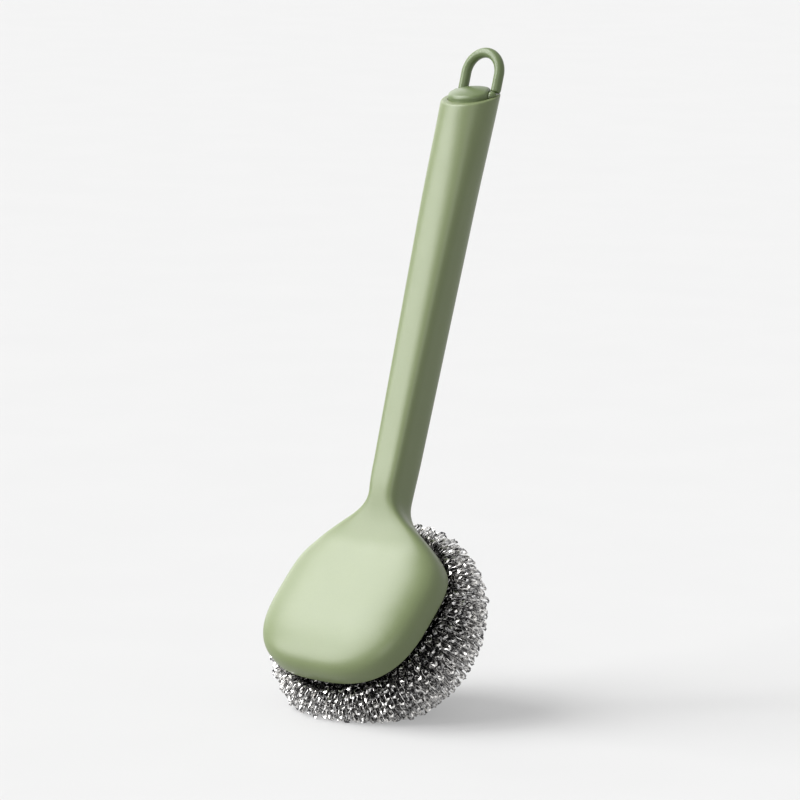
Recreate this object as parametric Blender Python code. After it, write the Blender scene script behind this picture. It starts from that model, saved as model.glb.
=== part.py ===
"""Dish scrubber: a hollow plastic handle whose cover head holds a push-fit refill of knitted stainless wire.

The head frame has X across the head, Y along the head towards the handle and Z out through the top of the
cover shell. The shell's rim lies in its plane Z = 0, and its origin is on the head's widest line. The end frame
has X across the handle, Y towards the handle's back and Z square out of the slanted end face. The world origin
is the centre of the ball's flattened foot, on the surface that it stands on.
"""

import math

import bmesh
import bpy
import numpy as np
from mathutils import Euler, Matrix, Vector

MM = 0.001

# Clearances and cuts
GAP = 0.3 * MM
OVERRUN = 2.0 * MM

# Angles: the head's long direction back from upright, the handle's turn up from the head, and the end face's
# tilt towards the handle's top side
HEAD_LEAN = math.radians(43.7)
HANDLE_BEND = math.radians(27.2)
END_SLANT = math.radians(28.6)

# Cover shell, in plan a superellipse at its far end, with rounded shoulders that run out into the neck. The
# cavity under it is a superellipse at both ends
HEAD_WIDTH = 69.4 * MM
HEAD_FAR = 30.5 * MM
HEAD_HEIGHT = 12.7 * MM
SHOULDER_END = 36.0 * MM
SHELL_WALL = 2.4 * MM
CAVITY_NEAR = 29.5 * MM
FAR_POWER = 2.8
SHOULDER_POWER = 4.0
FILLET_POWER = 1.5
NEAR_POWER = 2.5
SECTION_POWER = 3.4

# Handle: its length along the spine from the head's widest line, where the neck is at its slimmest, the rise
# of the spine from the rim plane and the bend, each with its start and length
SPINE_LENGTH = 187.2 * MM
NECK_AT = 35.0 * MM
NECK_WIDTH = 14.7 * MM
NECK_THICKNESS = 17.4 * MM
NECK_RISE = 14.0 * MM
RISE_AT = 18.5 * MM
RISE_LENGTH = 28.3 * MM
BEND_AT = 24.7 * MM
BEND_LENGTH = 29.2 * MM
END_WIDTH = 22.4 * MM
END_THICKNESS = 17.8 * MM
END_ROUNDING = 0.7 * MM
HANDLE_WALL = 2.2 * MM
BORE_DEPTH = 120.0 * MM
TUBE_POWER = 2.1
ROUND_POWER = 2.0

# Shares of a screw's head: its chamfer's height and the reach of its driver recess
HEAD_CHAMFER_SHARE = 1 / 3
DRIVE_REACH_SHARE = 2 / 3

# Knitted ball, an ellipsoid of revolution about the refill's axis
BALL_DIAMETER = 82.0 * MM
BALL_HEIGHT = 52.0 * MM
BALL_DEPTH = 13.3 * MM
BALL_OFFSET = 1.9 * MM
FOOT_DEPTH = 6.0 * MM
KNOB_HEIGHT = 2.0 * MM
DIMPLE_RADIUS = 5.0 * MM
DIMPLE_DEPTH = 2.0 * MM

# Socket plate and its screws
PLATE_RECESS = 2.0 * MM
PLATE_THICKNESS = 2.4 * MM
SOCKET_RADIUS = 8.5 * MM
SOCKET_WALL = 2.2 * MM
SOCKET_ROOF = 1.5 * MM
SCREW_RADIUS = 1.5 * MM
SCREW_LENGTH = 6.0 * MM
SCREW_HEAD_RADIUS = 2.8 * MM
SCREW_HEAD_HEIGHT = 1.6 * MM
SCREW_EDGE = 12.0 * MM
SCREW_NEAR_EDGE = 17.0 * MM
BOSS_WALL = 1.6 * MM
DRIVE_WIDTH = 0.7 * MM
DRIVE_DEPTH = 0.8 * MM

# Refill carrier, whose disc keeps clear of the socket's screws, its grip ring and the clamp under it
CARRIER_CLEARANCE = 2.1 * MM
CARRIER_THICKNESS = 2.0 * MM
SPIGOT_LENGTH = 6.3 * MM
RING_SECTION = 1.7 * MM
KNIT_NECK_RADIUS = 6.0 * MM
KNIT_THICKNESS = 1.6 * MM
CLAMP_STEP = 4.0 * MM
CLAMP_THICKNESS = 1.2 * MM
CLAMP_SCREW_REACH = 6.5 * MM
CLAMP_HEAD_RADIUS = 3.5 * MM
CLAMP_HEAD_HEIGHT = 2.2 * MM
TIE_RADIUS = 3.0 * MM
TIE_WIRE = 1.2 * MM

# End plug: a spigot in the handle's bore under a domed block whose back corners are cut off, with an ear that
# rises along each cut towards the loop's foot
PLUG_LENGTH = 14.0 * MM
PLUG_WALL = 1.6 * MM
BLOCK_HEIGHT = 1.9 * MM
CROWN_HEIGHT = 1.3 * MM
BLOCK_ROUNDING = 1.0 * MM
BLOCK_BACK_WIDTH = 7.6 * MM
EAR_FORWARD = 0.8 * MM
EAR_WIDTH = 3.8 * MM
EAR_HEIGHT = 1.9 * MM
EAR_ROOT_RADIUS = 0.9 * MM

# Hanging loop
LOOP_SPACING = 15.6 * MM
LOOP_LEG = 6.1 * MM
LOOP_ROD = 3.7 * MM
PIVOT_BACK = 5.0 * MM
PIVOT_HEIGHT = 1.0 * MM
TRUNNION_RADIUS = 0.6 * MM
TRUNNION_ENTRY = 1.8 * MM
TRUNNION_BEND = 1.0 * MM
FOOT_TAPER = 2.1 * MM

# Smoothness
SHARP_ANGLE = math.radians(40)
RING_POINTS = 40
HEAD_RINGS = 13
BORE_RINGS = 5
SPINE_STEPS = 2000
TIP_TURN = math.radians(6.0)
CROWN_ROWS = 4
EDGE_ROWS = 3
EAR_ROWS = 5
FOOT_ROWS = 4
ARCH_ROWS = 8
BALL_ROWS = 31
BALL_COLUMNS = 120
ROUND_SIDES = 32
SCREW_SIDES = 16
ROD_SIDES = 12
RING_SIDES = 10
TIE_SIDES = 8

# Worked out from the sizes above
BALL_RADIUS = BALL_DIAMETER / 2
BALL_HALF = BALL_HEIGHT / 2
CARRIER_TOP = PLATE_RECESS - GAP
CARRIER_BOTTOM = CARRIER_TOP - CARRIER_THICKNESS
BALL_TOP = CARRIER_BOTTOM - GAP
CLAMP_TOP = BALL_TOP - KNIT_THICKNESS - GAP
CLAMP_BOTTOM = CLAMP_TOP - CLAMP_THICKNESS
CLAMP_HEAD_TOP = CLAMP_BOTTOM - GAP
POCKET_FLOOR = CLAMP_HEAD_TOP - CLAMP_HEAD_HEIGHT - GAP
PLATE_TOP = PLATE_RECESS + PLATE_THICKNESS
SPIGOT_TOP = CARRIER_TOP + SPIGOT_LENGTH
SPIGOT_RADIUS = SOCKET_RADIUS - 2 * GAP
RING_RADIUS = SOCKET_RADIUS - GAP - RING_SECTION / 2
PILOT_RADIUS = SCREW_RADIUS + GAP


def smooth(share):
    """An S-curve from 0 to 1 that is level at both ends."""
    share = np.clip(share, 0, 1)
    return share * share * (3 - 2 * share)


def clear_scene():
    for thing in list(bpy.data.objects):
        bpy.data.objects.remove(thing)


def material(name, colour, roughness, metallic=0.0):
    """A plain shader of one finish."""
    made = bpy.data.materials.new(name)
    made.use_nodes = True
    shader = made.node_tree.nodes["Principled BSDF"]
    shader.inputs["Base Color"].default_value = (*colour, 1.0)
    shader.inputs["Roughness"].default_value = roughness
    shader.inputs["Metallic"].default_value = metallic
    return made


def empty(name, parent=None, location=(0, 0, 0), turn=0.0):
    """A frame that pieces hang on, turned about its X axis."""
    frame = bpy.data.objects.new(name, None)
    bpy.context.scene.collection.objects.link(frame)
    frame.parent = parent
    frame.location = location
    frame.rotation_euler = Euler((turn, 0, 0))
    return frame


def solid(name, shape, parent, finish=None, location=(0, 0, 0)):
    """Makes an object of a bmesh, with its faces pointing out."""
    bmesh.ops.recalc_face_normals(shape, faces=shape.faces)
    mesh = bpy.data.meshes.new(name)
    shape.to_mesh(mesh)
    shape.free()
    mesh.shade_smooth()
    mesh.set_sharp_from_angle(angle=SHARP_ANGLE)
    thing = bpy.data.objects.new(name, mesh)
    bpy.context.scene.collection.objects.link(thing)
    thing.parent = parent
    thing.location = location
    if finish:
        mesh.materials.append(finish)
    return thing


def combine(thing, other, operation):
    """Cuts the other solid out of a piece or joins it on, and keeps it as a hidden guide."""
    step = thing.modifiers.new(other.name, "BOOLEAN")
    step.operation = operation
    step.object = other
    other.hide_render = True
    other.display_type = "WIRE"


def skin(rings, start_pole=None, end_pole=None, closed=False):
    """Joins rings of points in order. An end is a fan to a pole or one flat face, and closed joins end to end."""
    shape = bmesh.new()
    rows = [[shape.verts.new(point) for point in ring] for ring in rings]
    pairs = list(zip(rows, rows[1:]))
    if closed:
        pairs.append((rows[-1], rows[0]))
    for first, second in pairs:
        for k in range(len(first)):
            after = (k + 1) % len(first)
            shape.faces.new((first[k], first[after], second[after], second[k]))
    if not closed:
        for row, pole in ((rows[0], start_pole), (rows[-1], end_pole)):
            if pole is None:
                shape.faces.new(row)
                continue
            tip = shape.verts.new(pole)
            for k in range(len(row)):
                shape.faces.new((row[k], row[(k + 1) % len(row)], tip))
    return shape


def turned(profile, sides):
    """Turns a profile of (radius, height) points, which starts and ends on the axis, about Z."""
    angles = np.linspace(0, 2 * math.pi, sides, endpoint=False)
    rings = [[(r * math.cos(a), r * math.sin(a), z) for a in angles] for r, z in profile[1:-1]]
    return skin(rings, (0, 0, profile[0][1]), (0, 0, profile[-1][1]))


def turned_loop(profile, sides):
    """Turns a closed profile that stays clear of the axis, for a piece with a hole through it."""
    angles = np.linspace(0, 2 * math.pi, sides, endpoint=False)
    rings = [[(r * math.cos(a), r * math.sin(a), z) for a in angles] for r, z in profile]
    return skin(rings, closed=True)


def rod(radius, low, high, sides):
    """A plain cylinder along Z."""
    return turned([(0, low), (radius, low), (radius, high), (0, high)], sides)


def oval(half_width, half_up, half_down, power, count=RING_POINTS):
    """A superellipse whose upper and lower halves may have unlike heights, as (x, y) points."""
    angle = np.linspace(0, 2 * math.pi, count, endpoint=False)
    cosine, sine = np.cos(angle), np.sin(angle)
    x = half_width * np.sign(cosine) * np.abs(cosine) ** (2 / power)
    height = np.where(sine > 0, half_up, half_down)
    return x, height * np.sign(sine) * np.abs(sine) ** (2 / power)


def tube_half(station):
    """Half the handle's width and thickness at a station along its spine."""
    share = np.clip((station - NECK_AT) / (SPINE_LENGTH - NECK_AT), 0, 1)
    wide = NECK_WIDTH + (END_WIDTH - NECK_WIDTH) * share
    thick = NECK_THICKNESS + (END_THICKNESS - NECK_THICKNESS) * share
    return wide / 2, thick / 2


def spine(station):
    """Where the spine is in the head frame at a station, as (y, z), and its angle there."""
    steps = np.linspace(0, SPINE_LENGTH, SPINE_STEPS)
    angle = HANDLE_BEND * smooth((steps - BEND_AT) / BEND_LENGTH)
    middle = (angle[1:] + angle[:-1]) / 2
    along = np.diff(steps)
    y = np.concatenate([[0], np.cumsum(np.cos(middle) * along)])
    z = np.concatenate([[0], np.cumsum(np.sin(middle) * along)])
    z = z + NECK_RISE * smooth((steps - RISE_AT) / RISE_LENGTH)
    return np.interp(station, steps, y), np.interp(station, steps, z), np.interp(station, steps, angle)


def shoulder_half(station):
    """Half the width past the widest line: n + (h - n)(1 - (s/e)^p)^q.

    h is half the head's width, n half the neck's, s the station and e where the shoulder has run out. The power
    p shapes the rounded shoulder and q the fillet at its foot.
    """
    neck = tube_half(station)[0]
    left = max(0.0, 1 - (station / SHOULDER_END) ** SHOULDER_POWER) ** FILLET_POWER
    return neck + (HEAD_WIDTH / 2 - neck) * left


def handle_ring(station, inset, slant):
    """One section square to the spine, drawn in by an inset. Slant 1 shears it to the end face."""
    thick = tube_half(station)[1]
    rise = smooth((station - RISE_AT) / RISE_LENGTH)
    half_up = HEAD_HEIGHT * (1 - rise) + thick * rise - inset
    power = SECTION_POWER * (1 - rise) + TUBE_POWER * rise
    x, up = oval(shoulder_half(station) - inset, half_up, (thick - inset) * rise, power)
    y, z, angle = spine(station)
    along = -math.tan(END_SLANT) * up * slant
    return np.stack([x, y + along * math.cos(angle) - up * math.sin(angle),
                     z + along * math.sin(angle) + up * math.cos(angle)], 1)


def head_ring(turn, half_width, length, height, power, floor=0.0):
    """One section of the head or its cavity. turn runs from 0 at the tip to a right angle at the widest line."""
    across = math.sin(turn) ** (2 / power)
    closing = math.sin(turn) ** (2 / SECTION_POWER)
    x, z = oval(half_width * across, height * closing, 0, SECTION_POWER)
    z = np.where(z > 0, z, -floor)
    y = np.full(len(x), length * math.cos(turn) ** (2 / power))
    return np.stack([x, y, z], 1)


def cavity_reach():
    """Half the cavity's width, its far and near lengths, and its height."""
    return (HEAD_WIDTH / 2 - SHELL_WALL, HEAD_FAR - SHELL_WALL, CAVITY_NEAR, HEAD_HEIGHT - SHELL_WALL)


def superellipse_left(share, power):
    """How much of a superellipse's width is left at a share of its length."""
    return (1 - abs(share) ** power) ** (1 / power)


def ceiling_height(x, y):
    """How high the cavity's ceiling is over a point of the rim plane."""
    half_width, far, near, height = cavity_reach()
    length, power = (far, FAR_POWER) if y < 0 else (near, NEAR_POWER)
    closing = superellipse_left(y / length, power) ** (power / SECTION_POWER)
    half = half_width * superellipse_left(y / length, power)
    return height * closing * superellipse_left(x / half, SECTION_POWER)


def outside_height(x, y):
    """How high the shell's outside is over a point of the rim plane."""
    if y > 0:
        return HEAD_HEIGHT * superellipse_left(x / shoulder_half(y), SECTION_POWER)
    left = superellipse_left(y / HEAD_FAR, FAR_POWER)
    closing = left ** (FAR_POWER / SECTION_POWER)
    return HEAD_HEIGHT * closing * superellipse_left(x / (HEAD_WIDTH / 2 * left), SECTION_POWER)


def cavity_cutter(parent):
    """The hollow under the cover shell, a smaller head shape that runs out through the rim plane."""
    half_width, far, near, height = cavity_reach()
    turns = np.linspace(TIP_TURN, math.pi / 2, HEAD_RINGS)
    rings = [head_ring(turn, half_width, -far, height, FAR_POWER, OVERRUN) for turn in turns]
    rings += [head_ring(turn, half_width, near, height, NEAR_POWER, OVERRUN) for turn in turns[-2::-1]]
    return solid("cavity_cutter", skin(rings), parent)


def bore_cutter(parent):
    """The handle's hollow, open at the slanted end."""
    rings = [handle_ring(station, HANDLE_WALL, 0)
             for station in np.linspace(SPINE_LENGTH - BORE_DEPTH, SPINE_LENGTH, BORE_RINGS)]
    angle = spine(SPINE_LENGTH)[2]
    rings.append(rings[-1] + np.array([0, math.cos(angle), math.sin(angle)]) * END_THICKNESS)
    return solid("bore_cutter", skin(rings), parent)


def screw_places():
    """The four screw positions, inside the cavity's corners."""
    half_width, far, near, _ = cavity_reach()
    across = half_width - SCREW_EDGE
    far_back = far - SCREW_EDGE
    near_back = near - SCREW_NEAR_EDGE
    return [(-across, -far_back), (across, -far_back), (-across, near_back), (across, near_back)]


def carrier_radius():
    """The carrier's disc reaches as far as the clearance from the nearest screw head."""
    nearest = min(math.hypot(x, y - BALL_OFFSET) for x, y in screw_places())
    return nearest - SCREW_HEAD_RADIUS - CARRIER_CLEARANCE


def boss_top(x, y):
    """Half way between the ceiling over the boss's inner side and the shell's outside over its outer side."""
    reach = (PILOT_RADIUS + BOSS_WALL) / math.sqrt(2)
    inner = ceiling_height(abs(x) - reach, math.copysign(abs(y) - reach, y))
    outer = outside_height(abs(x) + reach, math.copysign(abs(y) + reach, y))
    return (inner + outer) / 2


def make_handle_body(head, finish):
    """Cover shell and handle in one moulding, hollow from below and from the end, with four screw bosses."""
    rings = [head_ring(turn, HEAD_WIDTH / 2, -HEAD_FAR, HEAD_HEIGHT, FAR_POWER)
             for turn in np.linspace(TIP_TURN, math.pi / 2, HEAD_RINGS)]
    stations = list(np.linspace(0, SHOULDER_END, HEAD_RINGS)[1:])
    bend_end = max(BEND_AT + BEND_LENGTH, RISE_AT + RISE_LENGTH)
    stations += list(np.linspace(SHOULDER_END, bend_end, BORE_RINGS + 1)[1:])
    stations += list(np.linspace(bend_end, SPINE_LENGTH - END_THICKNESS, BORE_RINGS)[1:])
    rings += [handle_ring(station, 0, 0) for station in stations]
    for turn in np.linspace(0, math.pi / 2, EDGE_ROWS):
        station = SPINE_LENGTH - END_ROUNDING * (1 - math.sin(turn))
        rings.append(handle_ring(station, END_ROUNDING * (1 - math.cos(turn)), 1))
    body = solid("handle_body", skin(rings, start_pole=(0, -HEAD_FAR, 0)), head, finish)
    combine(body, cavity_cutter(head), "DIFFERENCE")
    combine(body, bore_cutter(head), "DIFFERENCE")
    boss_foot = PLATE_TOP + GAP
    hole_top = CARRIER_TOP + SCREW_LENGTH + GAP
    for number, (x, y) in enumerate(screw_places(), 1):
        boss = rod(PILOT_RADIUS + BOSS_WALL, boss_foot, boss_top(x, y), SCREW_SIDES)
        combine(body, solid(f"boss_guide_{number}", boss, head, location=(x, y, 0)), "UNION")
        hole = rod(PILOT_RADIUS, boss_foot - OVERRUN, hole_top, SCREW_SIDES)
        combine(body, solid(f"pilot_cutter_{number}", hole, head, location=(x, y, 0)), "DIFFERENCE")
    return body


def plate_outline():
    """The cavity's outline at the plate's top face, drawn in by the clearance, as (x, y) points."""
    half_width, far, near, height = cavity_reach()
    keep = (1 - (PLATE_TOP / height) ** SECTION_POWER) ** (1 / SECTION_POWER)
    reach = (half_width * keep - GAP, near * keep - GAP, far * keep - GAP)
    near_x, near_y = oval(*reach, NEAR_POWER)
    far_x, far_y = oval(*reach, FAR_POWER)
    return np.where(near_y > 0, near_x, far_x), np.where(near_y > 0, near_y, far_y)


def make_socket_plate(head, finish):
    """The plate that closes the shell, with the round socket standing on it."""
    x, y = plate_outline()
    rings = [[(a, b, level) for a, b in zip(x, y)] for level in (PLATE_RECESS, PLATE_TOP)]
    plate = solid("socket_plate", skin(rings), head, finish)
    cup_top = SPIGOT_TOP + GAP + SOCKET_ROOF
    middle = (PLATE_RECESS + PLATE_TOP) / 2
    cup = solid("socket_guide", rod(SOCKET_RADIUS + SOCKET_WALL, middle, cup_top, ROUND_SIDES), head,
                location=(0, BALL_OFFSET, 0))
    combine(plate, cup, "UNION")
    bore = rod(SOCKET_RADIUS, PLATE_RECESS - OVERRUN, SPIGOT_TOP + GAP, ROUND_SIDES)
    combine(plate, solid("socket_cutter", bore, head, location=(0, BALL_OFFSET, 0)), "DIFFERENCE")
    for number, (x, y) in enumerate(screw_places(), 1):
        hole = rod(PILOT_RADIUS, PLATE_RECESS - OVERRUN, PLATE_TOP + OVERRUN, SCREW_SIDES)
        combine(plate, solid(f"screw_hole_{number}", hole, head, location=(x, y, 0)), "DIFFERENCE")
    return plate


def screw_shape(shank_radius, head_radius, seat, head_height, tip):
    """A pan-head screw that points up along Z, its head hanging below the seat."""
    point = tip - shank_radius
    chamfer = head_height * HEAD_CHAMFER_SHARE
    return turned([(0, seat - head_height), (head_radius - chamfer, seat - head_height),
                   (head_radius, seat - head_height + chamfer), (head_radius, seat),
                   (shank_radius, seat), (shank_radius, point), (0, tip)], SCREW_SIDES)


def drive_cutter(name, floor, reach, parent, location):
    """A cross recess for the driver, cut up into a screw head from its flat face."""
    half = DRIVE_WIDTH / 2
    arm = [(reach, -half), (reach, half), (half, half)]
    cross = []
    for _ in range(4):
        cross += arm
        arm = [(-y, x) for x, y in arm]
    rings = [[(x, y, level) for x, y in cross] for level in (-DRIVE_DEPTH, DRIVE_DEPTH)]
    return solid(name, skin(rings), parent, location=(*location, floor))


def make_socket_screws(head, finish):
    """Four self-tapping screws that pull the plate up against the bosses."""
    for number, (x, y) in enumerate(screw_places(), 1):
        shape = screw_shape(SCREW_RADIUS, SCREW_HEAD_RADIUS, CARRIER_TOP, SCREW_HEAD_HEIGHT,
                            CARRIER_TOP + SCREW_LENGTH)
        screw = solid(f"socket_screw_{number}", shape, head, finish, (x, y, 0))
        drive = drive_cutter(f"drive_{number}", CARRIER_TOP - SCREW_HEAD_HEIGHT,
                             SCREW_HEAD_RADIUS * DRIVE_REACH_SHARE, head, (x, y))
        combine(screw, drive, "DIFFERENCE")


def make_refill_carrier(refill, finish):
    """The disc that backs the knitted ball, with a grooved spigot above and a short post below."""
    groove_middle = (CARRIER_TOP + SPIGOT_TOP) / 2 + GAP
    groove_half = RING_SECTION / 2 + GAP
    groove_radius = RING_RADIUS - RING_SECTION / 2 - GAP
    hole_top = CLAMP_HEAD_TOP + CLAMP_SCREW_REACH + 2 * GAP + CLAMP_THICKNESS + KNIT_THICKNESS
    post_foot = CLAMP_TOP + GAP
    lead = GAP * 2
    disc = carrier_radius()
    profile = [(0, hole_top), (PILOT_RADIUS, hole_top), (PILOT_RADIUS, post_foot),
               (KNIT_NECK_RADIUS, post_foot), (KNIT_NECK_RADIUS, CARRIER_BOTTOM),
               (disc - lead, CARRIER_BOTTOM), (disc, CARRIER_BOTTOM + lead),
               (disc, CARRIER_TOP), (SPIGOT_RADIUS, CARRIER_TOP),
               (SPIGOT_RADIUS, groove_middle - groove_half), (groove_radius, groove_middle - groove_half),
               (groove_radius, groove_middle + groove_half), (SPIGOT_RADIUS, groove_middle + groove_half),
               (SPIGOT_RADIUS, SPIGOT_TOP - lead), (SPIGOT_RADIUS - lead, SPIGOT_TOP), (0, SPIGOT_TOP)]
    return solid("refill_carrier", turned(profile, ROUND_SIDES), refill, finish)


def make_grip_ring(refill, finish):
    """The rubber ring in the spigot's groove."""
    middle = (CARRIER_TOP + SPIGOT_TOP) / 2 + GAP
    angles = np.linspace(0, 2 * math.pi, RING_SIDES, endpoint=False)
    profile = [(RING_RADIUS + RING_SECTION / 2 * math.cos(a), middle + RING_SECTION / 2 * math.sin(a))
               for a in angles]
    return solid("grip_ring", turned_loop(profile, ROUND_SIDES), refill, finish)


def make_clamp(refill, disc_finish, screw_finish):
    """The disc that traps the ball's gathered neck, and the screw that holds it to the carrier's post."""
    hole = PILOT_RADIUS
    reach = carrier_radius() - CLAMP_STEP
    profile = [(hole, CLAMP_BOTTOM), (reach, CLAMP_BOTTOM), (reach, CLAMP_TOP), (hole, CLAMP_TOP)]
    solid("clamp_disc", turned_loop(profile, ROUND_SIDES), refill, disc_finish)
    tip = CLAMP_HEAD_TOP + CLAMP_SCREW_REACH + CLAMP_THICKNESS + KNIT_THICKNESS
    shape = screw_shape(SCREW_RADIUS, CLAMP_HEAD_RADIUS, CLAMP_HEAD_TOP, CLAMP_HEAD_HEIGHT, tip)
    screw = solid("clamp_screw", shape, refill, screw_finish)
    drive = drive_cutter("clamp_drive", CLAMP_HEAD_TOP - CLAMP_HEAD_HEIGHT,
                         CLAMP_HEAD_RADIUS * DRIVE_REACH_SHARE, refill, (0, 0))
    combine(screw, drive, "DIFFERENCE")


def foot_centre():
    """The middle of the ball's flat foot in the head frame, as (y, z)."""
    reach = math.hypot(BALL_RADIUS * math.cos(HEAD_LEAN), BALL_HALF * math.sin(HEAD_LEAN))
    share = (reach - FOOT_DEPTH) / reach
    y = BALL_OFFSET - BALL_RADIUS ** 2 * math.cos(HEAD_LEAN) / reach * share
    z = -BALL_DEPTH - BALL_HALF ** 2 * math.sin(HEAD_LEAN) / reach * share
    return y, z


def make_scourer_ball(refill, finish):
    """The knitted ball: a knobby ellipsoid, flat where it stands, around the clamp's pocket and with a dimple.

    A point at the polar angle a lies at the radius R cos a and the height H sin a. Where row and column are both
    even there is a knob's top, where both are odd the surface lies lower by the knob height, and elsewhere by
    half of it. The knob height fades by cos a towards the poles.
    """
    top_angle = math.asin((BALL_TOP + BALL_DEPTH) / BALL_HALF)
    dimple_angle = -math.acos(DIMPLE_RADIUS / BALL_RADIUS)
    neck = KNIT_NECK_RADIUS + GAP
    pocket = carrier_radius() - CLAMP_STEP + GAP
    polar = np.linspace(top_angle, dimple_angle, BALL_ROWS)
    round_angles = np.linspace(0, 2 * math.pi, BALL_COLUMNS, endpoint=False)

    def plain(radius, height):
        return [(radius * math.cos(a), radius * math.sin(a), height) for a in round_angles]

    rings = [plain(radius, height) for radius, height in (
        (pocket, POCKET_FLOOR), (pocket, CLAMP_TOP + GAP), (neck, CLAMP_TOP + GAP), (neck, BALL_TOP))]
    rings.append(plain(BALL_RADIUS * math.cos(top_angle) - KNOB_HEIGHT, BALL_TOP))
    for row, angle in enumerate(polar[1:], 1):
        ring = []
        for column, a in enumerate(round_angles):
            low = KNOB_HEIGHT * (row % 2 + column % 2) / 2 * math.cos(angle)
            radius = (BALL_RADIUS - low) * math.cos(angle)
            ring.append((radius * math.cos(a), radius * math.sin(a),
                         (BALL_HALF - low) * math.sin(angle) - BALL_DEPTH))
        rings.append(ring)
    floor = DIMPLE_DEPTH - BALL_DEPTH - BALL_HALF
    rings.append(plain(DIMPLE_RADIUS - KNOB_HEIGHT, floor))
    ball = solid("scourer_ball", skin(rings, (0, 0, POCKET_FLOOR), (0, 0, floor)), refill, finish)
    reach = BALL_RADIUS + OVERRUN
    square = [(-reach, -reach), (reach, -reach), (reach, reach), (-reach, reach)]
    block = skin([[(x, y, level) for x, y in square] for level in (-reach, 0)])
    combine(ball, solid("foot_cutter", block, None), "DIFFERENCE")
    return ball


def make_gather_tie(refill, finish):
    """The wire ring that closes the knitted tube, in the dimple at the ball's far pole."""
    floor = DIMPLE_DEPTH - BALL_DEPTH - BALL_HALF
    middle = floor - GAP - TIE_WIRE / 2
    angles = np.linspace(0, 2 * math.pi, TIE_SIDES, endpoint=False)
    profile = [(TIE_RADIUS + TIE_WIRE / 2 * math.cos(a), middle + TIE_WIRE / 2 * math.sin(a)) for a in angles]
    return solid("gather_tie", turned_loop(profile, ROUND_SIDES // 2), refill, finish)


def plug_ring(depth, inset):
    """The plug's section at a depth down the bore, parallel to the end face, in the end frame."""
    wide, thick = tube_half(SPINE_LENGTH - depth)
    shrink = HANDLE_WALL + GAP + inset
    x, y = oval(wide - shrink, (thick - shrink) / math.cos(END_SLANT), (thick - shrink) / math.cos(END_SLANT),
                TUBE_POWER)
    return np.stack([x, y - depth * math.sin(END_SLANT), np.full(len(x), -depth * math.cos(END_SLANT))], 1)


def make_end_plug(end, finish):
    """Spigot, domed block with its back corners cut off, two ears, and the cross hole for the trunnions."""
    wide, thick = tube_half(SPINE_LENGTH)
    rings = [plug_ring(PLUG_LENGTH, GAP), plug_ring(PLUG_LENGTH - OVERRUN, 0), plug_ring(0, 0)]
    face = plug_ring(0, 0)
    for height, inset in ((BLOCK_HEIGHT - BLOCK_ROUNDING, 0), (BLOCK_HEIGHT, BLOCK_ROUNDING)):
        rings.append(plug_ring(0, inset) + np.array([0, 0, height]))
    for share in np.linspace(1, 0, CROWN_ROWS)[1:-1]:
        rise = BLOCK_HEIGHT + CROWN_HEIGHT * (1 - share ** 2)
        rings.append(face * np.array([share, share, 0]) + np.array([0, 0, rise]))
    plug = solid("end_plug", skin(rings, end_pole=(0, 0, BLOCK_HEIGHT + CROWN_HEIGHT)), end, finish)

    hollow = [plug_ring(PLUG_LENGTH + OVERRUN, PLUG_WALL), plug_ring(PLUG_WALL + BLOCK_HEIGHT, PLUG_WALL)]
    combine(plug, solid("plug_hollow_cutter", skin(hollow), end), "DIFFERENCE")

    half_wide = wide - HANDLE_WALL - GAP
    half_deep = (thick - HANDLE_WALL - GAP) / math.cos(END_SLANT)
    start = np.array([half_wide - GAP, 0])
    stop = np.array([BLOCK_BACK_WIDTH / 2, half_deep])
    along = (stop - start) / np.linalg.norm(stop - start)
    outward = np.array([along[1], -along[0]]) * half_wide
    start, stop = start - along * OVERRUN, stop + along * OVERRUN
    for side in (-1, 1):
        corner = [point * (side, 1) for point in (start, stop, stop + outward, start + outward)]
        levels = (0, BLOCK_HEIGHT + CROWN_HEIGHT + OVERRUN)
        prism = skin([[(x, y, level) for x, y in corner] for level in levels])
        combine(plug, solid(f"corner_cutter_{side + 2}", prism, end), "DIFFERENCE")

    ear_x = half_wide - GAP
    ear_back = PIVOT_BACK - LOOP_ROD / 2 - GAP
    for side in (-1, 1):
        ear_rings = []
        for turn in np.linspace(0, math.pi / 2, EAR_ROWS)[1:]:
            x, rise = oval(EAR_WIDTH / 2 * math.sin(turn), (EAR_HEIGHT - GAP) * math.sin(turn), 0, ROUND_POWER,
                           SCREW_SIDES)
            y = ear_back - (ear_back + EAR_FORWARD) * (1 - turn / (math.pi / 2))
            ear_rings.append([(a, y, GAP + b) for a, b in zip(x, rise)])
        shape = skin(ear_rings, start_pole=(0, -EAR_FORWARD, GAP))
        combine(plug, solid(f"ear_guide_{side + 2}", shape, end, location=(side * ear_x, 0, 0)), "UNION")
        root = rod(EAR_ROOT_RADIUS, -BLOCK_HEIGHT, EAR_HEIGHT / 2, ROD_SIDES)
        place = (side * (ear_x - GAP - EAR_ROOT_RADIUS), ear_back / 2, 0)
        combine(plug, solid(f"ear_root_{side + 2}", root, end, location=place), "UNION")

    cross = rod(TRUNNION_RADIUS + GAP, -half_wide, half_wide, ROD_SIDES)
    bmesh.ops.rotate(cross, verts=cross.verts, cent=(0, 0, 0), matrix=Matrix.Rotation(math.pi / 2, 3, "Y"))
    combine(plug, solid("trunnion_cutter", cross, end, location=(0, PIVOT_BACK, PIVOT_HEIGHT)), "DIFFERENCE")
    return plug


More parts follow.
